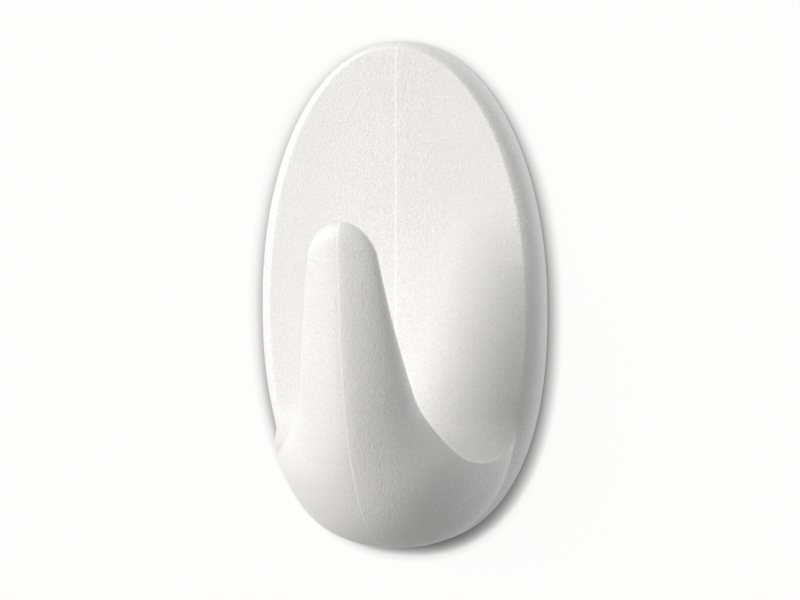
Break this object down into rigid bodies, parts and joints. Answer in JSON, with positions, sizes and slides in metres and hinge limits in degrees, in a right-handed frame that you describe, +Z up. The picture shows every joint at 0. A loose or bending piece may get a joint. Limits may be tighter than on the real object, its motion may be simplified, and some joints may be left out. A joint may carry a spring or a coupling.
{
  "type": "adhesive wall hook",
  "caption": "Oval moulded wall hook with a rising rounded prong, hung on a tongued base plate that is held to the wall by a stretch-release adhesive strip.",
  "frame": {"origin": "centre of the bonded back face of the adhesive strip, on the wall", "axes": "+Y into the wall, so the front faces -Y; +Z up; +X to the right seen from the front"},
  "size_m": [0.0388, 0.0254, 0.0651],
  "materials": {
    "cover_plastic": "satin, finely grained",
    "plate_plastic": "satin",
    "strip_elastomer": "matt",
    "tab_film": "smooth film"
  },
  "bodies": {
    "base": {"base_plate": "plate_plastic", "adhesive_strip": "strip_elastomer", "tab_film_front": "tab_film", "tab_film_back": "tab_film"},
    "hook": {"hook_cover": "cover_plastic"}
  },
  "joints": [
    {"name": "hook_slide", "type": "slide", "parent": "base", "child": "hook", "axis": [0, 0, 1], "range_m": [0, 0.01]}
  ]
}
